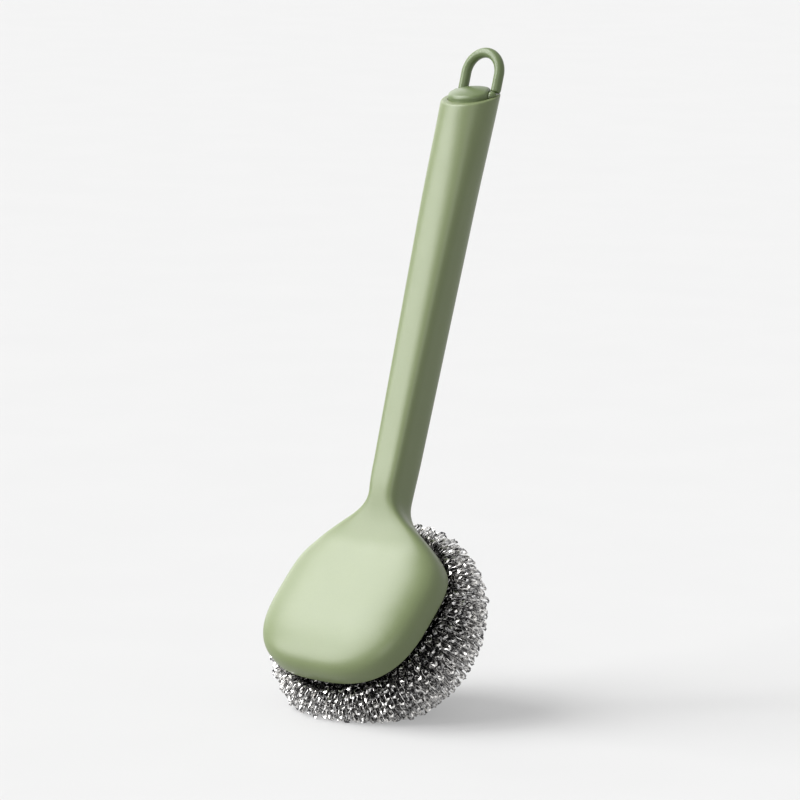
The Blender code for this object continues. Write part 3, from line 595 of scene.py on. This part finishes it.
def block_row(drop, inset, share, turn):
    """A row of the domed block: the plug's oval, drawn to the cut line by a soft minimum of the two. Its height
    is the dome's over that point, one less the squared share of the whole oval, and a drop below that."""
    row = plug_row(0, inset, turn)
    over = np.maximum(cut_normal[0] * np.abs(row[:, 0]) + cut_normal[1] * row[:, 1], 1e-6) / (cut_distance - inset)
    row = row * ((1 + over ** CORNER_SOFTNESS) ** (-1 / CORNER_SOFTNESS) * share)[:, None]
    out = (np.abs(row[:, 0] / plug_wide) ** TUBE_POWER + np.abs(row[:, 1] / plug_deep) ** TUBE_POWER)
    dome = BLOCK_HEIGHT + CROWN_HEIGHT * (1 - out ** (2 / TUBE_POWER))
    row[:, 2] = np.maximum(dome - drop, 0)
    return row


dark_sage, shader, start = finish_start("satin_dark_sage")
spot = start.place()
grain = start.noise(spot, 0.25 * MM, 2.0, 0.6)
scuff = start.noise(spot, 2.2 * MM, 4.0, 0.6)
feed(shader, Base_Color=start.mix(scuff, (0.104, 0.146, 0.054, 1), (0.123, 0.166, 0.065, 1)),
     Roughness=scuff * 0.14 + 0.27, Normal=start.bump(grain, 0.006 * MM))
settle(shader, Specular_IOR_Level=0.5)

turn = even_turns(PLUG_AROUND, TUBE_POWER, plug_deep / plug_wide)
rows = [plug_row(PLUG_WALL + BLOCK_HEIGHT, PLUG_WALL, turn), plug_row(PLUG_LENGTH - GAP, PLUG_WALL, turn),
        plug_row(PLUG_LENGTH, PLUG_WALL - GAP, turn), plug_row(PLUG_LENGTH, GAP, turn),
        plug_row(PLUG_LENGTH - OVERRUN, 0, turn), plug_row(0, 0, turn), block_row(2 * BLOCK_HEIGHT, 0, 1, turn)]
for lean in np.linspace(0, RIGHT_ANGLE, 9):
    rows.append(block_row(BLOCK_ROUNDING * (1 - math.sin(lean)), BLOCK_ROUNDING * (1 - math.cos(lean)), 1, turn))
for share in np.linspace(1, 0, 16)[1:-1]:
    rows.append(block_row(0, BLOCK_ROUNDING, share, turn))
ceiling = rows[0].mean(axis=0)
points, faces = wrap(np.array(rows), (ceiling, (0, 0, BLOCK_HEIGHT + CROWN_HEIGHT)))
plug = piece_of("end_cap", end_to_world(points), faces, dark_sage)

ear_turn = np.linspace(0, 2 * math.pi, ROD_AROUND, endpoint=False)
run = np.linspace(0, 1, 22)[1:]
blunt = np.linspace(0, RIGHT_ANGLE, 7)[1:-1]
ear_share = np.concatenate([run * EAR_STRAIGHT, EAR_STRAIGHT + (1 - EAR_STRAIGHT) * np.sin(blunt)])
ear_swell = np.concatenate([np.sin(run * RIGHT_ANGLE), np.cos(blunt) ** EAR_BLUNTNESS])[:, None]
for side in (-1, 1):
    x, rise = oval(EAR_WIDTH / 2 * ear_swell, (EAR_HEIGHT - GAP / 2) * ear_swell, 0, 2.0, ear_turn[None, :])
    y = (ear_share * (EAR_BACK + EAR_FORWARD) - EAR_FORWARD)[:, None] + 0 * x
    ear = np.stack([side * (plug_wide - GAP) + x, y, GAP / 2 + rise], 2)
    ends = ((side * (plug_wide - GAP), -EAR_FORWARD, GAP / 2), (side * (plug_wide - GAP), EAR_BACK, GAP))
    points, faces = wrap(ear, ends)
    combine(plug, piece_of(f"ear_{side + 2}", end_to_world(points), faces), "UNION")

ring = np.stack([0 * ear_turn, PIVOT_BACK + (TRUNNION_RADIUS + GAP) * np.cos(ear_turn),
                 PIVOT_HEIGHT + (TRUNNION_RADIUS + GAP) * np.sin(ear_turn)], 1)
points, faces = wrap(np.stack([ring - (plug_wide, 0, 0), ring + (plug_wide, 0, 0)]),
                     ((-plug_wide, PIVOT_BACK, PIVOT_HEIGHT), (plug_wide, PIVOT_BACK, PIVOT_HEIGHT)))
combine(plug, piece_of("cross_hole", end_to_world(points), faces), "DIFFERENCE")
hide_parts("end_plug")
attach(plug, "handle")

# Hanging loop: one bent round rod of the same dark green plastic. Thin trunnions on its feet snap into the
# plug's cross hole, and the backs of the feet are cut flat so that it can fold back.
LOOP_SPACING = 15.6 * MM
LOOP_LEG = 6.1 * MM
LOOP_ROD = 3.7 * MM
TRUNNION_ENTRY = 1.8 * MM
FOOT_BELOW = 0.6 * MM
FOLD_ROOM = 0.72 * MM
FOLD_TURN = math.radians(35)
NARROW_RUN = 1.3
NARROW_SHARE = 0.62

half = LOOP_SPACING / 2
leg = np.linspace(-FOOT_BELOW, LOOP_LEG, 22, endpoint=False)
arch = np.linspace(0, math.pi, 56)
middle = np.concatenate([np.stack([0 * leg + half, leg], 1),
                         np.stack([half * np.cos(arch), LOOP_LEG + half * np.sin(arch)], 1),
                         np.stack([0 * leg - half, leg[::-1]], 1)])
along = np.gradient(middle, axis=0)
along /= np.hypot(along[:, 0], along[:, 1])[:, None]
from_foot = np.minimum(np.arange(len(middle)), np.arange(len(middle))[::-1]) * (leg[1] - leg[0])
narrow = np.clip(1 - from_foot / (FOOT_BELOW * NARROW_RUN), 0, 1)
thick = LOOP_ROD / 2 * np.sqrt(1 - NARROW_SHARE * narrow ** 2)
rod_turn = np.linspace(0, 2 * math.pi, 40, endpoint=False)
rod = np.stack([middle[:, 0, None] + thick[:, None] * along[:, 1, None] * np.cos(rod_turn),
                thick[:, None] * np.sin(rod_turn) + 0 * middle[:, 0, None],
                middle[:, 1, None] - thick[:, None] * along[:, 0, None] * np.cos(rod_turn)], 2)
folded = END_SLANT + FOLD_TURN
room_behind = (FOLD_ROOM + rod[..., 2] * math.cos(folded)) / math.sin(folded)
rod[..., 1] = np.minimum(rod[..., 1], room_behind)


def pivot_to_world(points):
    """From the loop's frame, upright along the handle on its pivot, to the scrubber as it stands."""
    y, z = points[..., 1], points[..., 2]
    return end_to_world(np.stack([points[..., 0], PIVOT_BACK + y * math.cos(END_SLANT) + z * math.sin(END_SLANT),
                                  PIVOT_HEIGHT - y * math.sin(END_SLANT) + z * math.cos(END_SLANT)], -1))


points, faces = wrap(rod, (rod[0].mean(axis=0), rod[-1].mean(axis=0)))
loop = piece_of("bail_loop", pivot_to_world(points), faces, dark_sage)
tip_x = BLOCK_BACK_WIDTH / 2 - TRUNNION_ENTRY / 2
for side in (-1, 1):
    ring = np.stack([0 * ear_turn, TRUNNION_RADIUS * np.cos(ear_turn), TRUNNION_RADIUS * np.sin(ear_turn)], 1)
    ends = ((side * tip_x, 0, 0), (side * half, 0, 0))
    points, faces = wrap(np.stack([ring + ends[0], ring + ends[1]]), ends)
    combine(loop, piece_of(f"trunnion_{side + 2}", pivot_to_world(points), faces), "UNION")
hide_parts("hanging_loop")
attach(loop, "loop")

# Socket plate and refill carrier: two plain mouldings in pale grey-green plastic. The plate is screwed under the
# shell and holds the socket, and the carrier's grooved spigot pushes into it. They keep their solids' shapes.
inner, shader, start = finish_start("plain_inner_plastic")
spot = start.place()
flow = start.noise(spot, 9 * MM, 3.0)
grain = start.noise(spot, 0.5 * MM, 2.0)
feed(shader, Base_Color=start.mix(flow, (0.56, 0.60, 0.51, 1), (0.63, 0.67, 0.58, 1)),
     Roughness=flow * 0.15 + 0.42, Normal=start.bump(grain, 0.02 * MM))


def dress(nodes, finish):
    """Puts one finish on CAD nodes that keep their own shape."""
    for name in nodes:
        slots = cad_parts[name].data.materials
        slots.clear()
        slots.append(finish)


dress(["socket_plate", "refill_carrier"], inner)

# Grip ring: a black rubber ring in the spigot's groove, which gives the push fit its hold.
rubber, shader, start = finish_start("black_grip_rubber")
spot = start.place()
bloom = start.noise(spot, 1.4 * MM, 4.0, 0.7)
feed(shader, Base_Color=start.mix(bloom, (0.018, 0.018, 0.019, 1), (0.045, 0.045, 0.045, 1)),
     Roughness=bloom * 0.2 + 0.62, Normal=start.bump(bloom, 0.03 * MM))
dress(["grip_ring"], rubber)

# Screws and clamp disc: zinc-plated steel. Four self-tapping screws hold the plate, and one screw pulls the disc
# up against the knit's gathered neck.
zinc, shader, start = finish_start("bright_zinc_plate")
spot = start.place()
bloom = start.noise(spot, 0.9 * MM, 3.0, 0.6)
brushed = start.noise(start.node("ShaderNodeVectorMath", {"operation": "MULTIPLY"},
                                 {0: spot, 1: (1.0, 14.0, 14.0)}), 3 * MM, 2.0)
feed(shader, Base_Color=start.mix(bloom, (0.58, 0.59, 0.61, 1), (0.70, 0.71, 0.72, 1)),
     Roughness=bloom * 0.18 + 0.22, Normal=start.bump(brushed, 0.01 * MM))
settle(shader, Metallic=1.0)
dress(["socket_screw_1", "socket_screw_2", "socket_screw_3", "socket_screw_4", "clamp_disc", "clamp_screw"], zinc)

# Knitted ball: a tube of flat stainless wire, machine knitted, folded over itself several times and gathered at
# both ends. Its neck is trapped under the carrier and its far end tied, and its own weight on it flattens a foot.
BALL_TOP = -0.6 * MM
NECK_RADIUS = 6.6 * MM
TIE_INSIDE = 1.7 * MM
TIE_LEVEL = -38.2 * MM
STITCH_PITCH = 3.8 * MM
COURSE_SPACING = 3.55 * MM
LOOP_REACH = 2.05 * MM
LOOP_SWELL = 0.42 * MM
HEAD_CURL = 1.6 * MM
HEAD_TURNS = 0.45 * MM
KNIT_SINK = 1.1 * MM
LEG_DIP = 0.40 * MM
WIRE_WIDTH = 1.0 * MM
LEG_WIDTH_SHARE = 0.40
WIRE_THICKNESS = 0.15 * MM
STITCH_POINTS = 12
GATHER_RADII = (24 * MM, 13 * MM)
WALE_SKEW = 0.35
RIM_CLEARANCE = 0.45 * MM
RIM_SOFTNESS = 0.12 * MM
FOOT_CLEARANCE = 0.45 * MM
FOOT_SOFTNESS = 0.25 * MM
FOOT_SHARE = 0.7
LEAST_HEIGHT = 0.02 * MM
FAR_FLAT = 5.5 * MM
FAR_MOUTH = 3.6 * MM
FAR_RISE = 1.6 * MM
COURSE_WANDER = 0.9 * MM
WIDE_COURSE = 40
TWIST_CHANCE = 0.6
WIRE_FACET = math.radians(12)
OUTLINE_POINTS = 1500
TOP_POINTS = 60
BELLY_POINTS = 400
SOFTENING = 31


def wire_finish(name, dim, middle, bright):
    """Drawn stainless wire. Its tone, near black to near white from stitch to stitch, is painted shade and glints.
    """
    made, shader, start = finish_start(name)
    spot = start.place()
    painted_glint_patches = start.noise(spot, 2.4 * MM, 2.0)
    drawn = start.noise(spot, 0.6 * MM, 2.0, 0.6)
    # The stops' swing from dim to bright is painted reflection: dim stitches stand for shade, bright ones for
    # glints.
    stops = [(0.36, (dim, dim, dim * 1.05)), (0.48, (middle, middle * 0.99, middle * 0.98)),
             (0.60, (bright, bright * 0.98, bright * 0.95))]
    feed(shader, Base_Color=start.node("ShaderNodeValToRGB", {"stops": stops}, {"Fac": drawn * 0.3 + painted_glint_patches * 0.7}),
         Roughness=drawn * 0.14 + 0.14)
    settle(shader, Metallic=1.0)
    return made


# Outer layer and tie: tones from 0.07 to 0.95 are painted shade and painted glints on the wire.
wire = wire_finish("flat_wire_painted_glints", 0.07, 0.42, 0.95)
# Inner layers: a darker copy of the same wire, painted shade for where they lie under the outer loops.
painted_shade_wire = wire_finish("flat_wire_painted_shade", 0.03, 0.18, 0.60)


def knit_outline(depth):
    """The knit's outline as (radius, height) in the refill's frame, evenly spaced: out along the flat top from
    the gathered neck, round the belly's ellipse and in to the tie, then softened by a running mean."""
    radius, half = BALL_RADIUS - depth, BALL_HALF - depth
    top = BALL_TOP - depth - RIM_CLEARANCE
    start_lean = math.asin((top + BALL_DEPTH) / half)
    flat_end = radius * math.cos(start_lean)
    lean = np.linspace(start_lean, -math.acos(FAR_FLAT / radius), BELLY_POINTS)
    flat = np.linspace(NECK_RADIUS, flat_end, TOP_POINTS, endpoint=False)
    r = np.concatenate([flat, radius * np.cos(lean), [FAR_MOUTH, TIE_INSIDE]])
    z = np.concatenate([np.full(TOP_POINTS, top), half * np.sin(lean) - BALL_DEPTH,
                        [TIE_LEVEL + FAR_RISE, TIE_LEVEL + depth / 4]])
    along = np.concatenate([[0], np.cumsum(np.hypot(np.diff(r), np.diff(z)))])
    even = np.linspace(0, along[-1], OUTLINE_POINTS)
    r, z = np.interp(even, along, r), np.interp(even, along, z)
    window = np.ones(SOFTENING) / SOFTENING
    r, z = (np.convolve(np.pad(line, SOFTENING // 2, "edge"), window, "valid") for line in (r, z))
    return even, r, z


def refill_to_world(points):
    """From the refill's frame, whose axis is the ball's, to the scrubber as it stands."""
    return to_world(points + np.array([0, BALL_OFFSET, 0]))


def press(value, least, softness):
    """A soft floor: the value where it is well above the least, easing into the least below it."""
    over = (value - least) / softness
    return least + softness * np.where(over > 30, over, np.log1p(np.exp(np.minimum(over, 30))))


def ribbon(centre, outward, twist, following, width):
    """Four corners round each point of closed wires: a flat section, twisted about the wire from lying on the
    ball. Each point has the index of the one following it on its wire."""
    along = centre[following] - centre
    along /= np.linalg.norm(along, axis=1)[:, None]
    flat = np.cross(along, outward)
    flat /= np.linalg.norm(flat, axis=1)[:, None]
    out = np.cross(flat, along)
    wide = flat * np.cos(twist)[:, None] + out * np.sin(twist)[:, None]
    thin = np.cross(along, wide)
    corners = [(0.5, 0.5), (-0.5, 0.5), (-0.5, -0.5), (0.5, -0.5)]
    return np.stack([centre + wide * width[:, None] * a + thin * WIRE_THICKNESS * b for a, b in corners], 1)


def ribbon_faces(following):
    """Quads between each point's four corners and those of the one following it."""
    here, after = 4 * np.arange(len(following))[:, None], 4 * following[:, None]
    side = np.arange(4)
    turned = (side + 1) % 4
    return np.stack([here + side, here + turned, after + turned, after + side], 2).reshape(-1, 4).tolist()


def knit(name, depth, seed, lean, chaos, finish):
    """A layer of knit. In a stitch, t turns once: the wire goes on by t and sways by sin 2t, which makes the
    loop's head wider than its neck, reaches along the outline by cos t, and curls out by cos t and cos 2t. Every
    other stitch stands further out, and the whole layer is sunk a little. The wire shows its flat side most at
    the heads. From a fixed seed each stitch varies by the chaos, and whole courses wander and lean."""
    chance = np.random.default_rng(seed)
    even, outline_r, outline_z = knit_outline(depth)
    courses = np.arange(COURSE_SPACING / 2, even[-1], COURSE_SPACING)
    around = np.interp(courses, even, outline_r)
    full = 4 * round(math.pi * (BALL_RADIUS - depth) / STITCH_PITCH / 2)
    counts = np.where(around > GATHER_RADII[0], full, np.where(around > GATHER_RADII[1], full // 2, full // 4))
    centres, normals, twists, widths, following = [], [], [], [], []
    total = 0
    for row, (course, count) in enumerate(zip(courses, counts)):
        points = count * STITCH_POINTS
        t = np.arange(points) * 2 * math.pi / STITCH_POINTS
        stitch = t / (2 * math.pi)

        def per_stitch(low, high):
            """A value for each stitch, blended from one to the next."""
            drawn = chance.uniform(low, high, count)
            return np.interp(stitch, np.arange(count + 1), np.append(drawn, drawn[0]))

        sway = per_stitch(1 - chaos, 1 + chaos) * LOOP_SWELL * 2 * math.pi / STITCH_PITCH
        angle = (t + sway * np.sin(2 * t)) / count + seed + WALE_SKEW * course / BALL_RADIUS
        wander = COURSE_WANDER * np.sin(3 * angle + seed + course * 40) + lean * np.sin(angle + seed)
        reach = LOOP_REACH * per_stitch(1 - chaos / 2, 1 + chaos / 2) * np.cos(t + per_stitch(-chaos, chaos))
        s = np.clip(course + wander * min(1, count / WIDE_COURSE) + reach, 0, even[-1])
        r, z = np.interp(s, even, outline_r), np.interp(s, even, outline_z)
        slope_r = np.interp(s, even, np.gradient(outline_r, even))
        slope_z = np.interp(s, even, np.gradient(outline_z, even))
        out = (HEAD_CURL * per_stitch(1 - chaos, 1 + chaos) * np.cos(t) + LEG_DIP * np.cos(2 * t)
               + per_stitch(-chaos, chaos) * MM / 2 + chaos * MM * np.sin(4 * angle + 2 * seed + course * 90))
        out += HEAD_TURNS * np.cos(math.pi * (np.round(stitch) + row)) - KNIT_SINK
        cosine, sine = np.cos(angle), np.sin(angle)
        normal = np.stack([-slope_z * cosine, -slope_z * sine, slope_r], 1)
        centre = np.stack([r * cosine, r * sine, z], 1) + normal * out[:, None]
        centre[:, 2] = BALL_TOP - press(BALL_TOP - centre[:, 2], RIM_CLEARANCE, RIM_SOFTNESS)
        centres.append(centre)
        normals.append(normal)
        twists.append(RIGHT_ANGLE * (1 - np.cos(t) ** 4) + per_stitch(-TWIST_CHANCE, TWIST_CHANCE))
        widths.append(WIRE_WIDTH * (LEG_WIDTH_SHARE + (1 - LEG_WIDTH_SHARE) * ((1 + np.cos(t)) / 2) ** 2))
        following.append(total + (np.arange(points) + 1) % points)
        total += points
    following = np.concatenate(following)
    centre = refill_to_world(np.concatenate(centres))
    outward = refill_to_world(np.concatenate(normals)) - refill_to_world(np.zeros(3))
    centre[:, 2] = press(centre[:, 2], FOOT_CLEARANCE + depth * FOOT_SHARE, FOOT_SOFTNESS)
    corners = ribbon(centre, outward, np.concatenate(twists), following, np.concatenate(widths))
    corners[..., 2] = np.maximum(corners[..., 2], LEAST_HEIGHT)
    made = piece_of(name, corners.reshape(-1, 3), ribbon_faces(following), finish, WIRE_FACET)
    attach(made, "refill")
    return made


outer_knit = knit("knit_outer_layer", 0.0, 11, 0.6 * MM, 0.20, wire)
# The second and third layers take the darker wire copy, which is painted shade.
knit("knit_second_layer", 2.6 * MM, 23, 4.0 * MM, 0.45, painted_shade_wire)
knit("knit_third_layer", 4.2 * MM, 37, -4.0 * MM, 0.45, painted_shade_wire)
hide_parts("scourer_ball")

# Folded core of the ball: the knit's inner folds as one lumpy body around the clamp's pocket. Its near-black
# metal colour is painted shade, so that the gaps between the outer loops show dark.
core_painted_shade, shader, start = finish_start("inner_folds_painted_shade")
spot = start.place()
folds = start.noise(spot, 1.6 * MM, 3.0, 0.7)
# Near-black to dark grey metal: painted shade for the inside of the ball.
dark = start.node("ShaderNodeValToRGB", {"stops": [(0.42, (0.010, 0.010, 0.011)), (0.62, (0.05, 0.05, 0.052)),
                                                  (0.74, (0.22, 0.22, 0.22))]}, {"Fac": folds})
feed(shader, Base_Color=dark, Normal=start.bump(folds, 0.9 * MM))
settle(shader, Metallic=1.0, Roughness=0.5)

CORE_DEPTH = 6.4 * MM
POCKET_RADIUS = 14.3 * MM
POCKET_FLOOR = -6.8 * MM
POCKET_RIM = 1.0 * MM
POCKET_STEP = 0.3 * MM
CORE_SOFTNESS = 0.3 * MM
CORE_FACET = math.radians(60)
CORE_ROWS = 90
CORE_AROUND = 240
LUMP_HEIGHT = 0.55 * MM
LUMPS_AROUND = 23
LUMP_SKEW = 400
LUMPS_ALONG = 58

even, outline_r, outline_z = knit_outline(CORE_DEPTH)
first = int(np.argmax(outline_r > POCKET_RADIUS + POCKET_RIM))
s = np.linspace(even[first], even[-1], CORE_ROWS)
core_turn = np.linspace(0, 2 * math.pi, CORE_AROUND, endpoint=False)
r, z = np.interp(s, even, outline_r)[:, None], np.interp(s, even, outline_z)[:, None]
share = s[:, None] / BALL_RADIUS
lumps = LUMP_HEIGHT * np.sin(LUMPS_AROUND * core_turn + LUMP_SKEW * share) * np.sin(LUMPS_ALONG * share)
belly = np.stack([(r + lumps) * np.cos(core_turn), (r + lumps) * np.sin(core_turn), z + lumps], 2)
ring = np.stack([POCKET_RADIUS * np.cos(core_turn), POCKET_RADIUS * np.sin(core_turn), 0 * core_turn], 1)
pocket = np.stack([ring + (0, 0, POCKET_FLOOR), ring + (0, 0, belly[0, 0, 2] - POCKET_STEP)])
points, faces = wrap(np.concatenate([pocket, belly]), ((0, 0, POCKET_FLOOR), (0, 0, belly[-1, 0, 2])))
points = refill_to_world(points)
points[:, 2] = press(points[:, 2], CORE_DEPTH * FOOT_SHARE, CORE_SOFTNESS)
core = piece_of("knit_core_folds", points, faces, core_painted_shade, CORE_FACET)
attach(core, "refill")

# Gather tie: a ring of plain stainless wire that closes the knitted tube's far end. It keeps its solid's shape.
dress(["gather_tie"], wire)
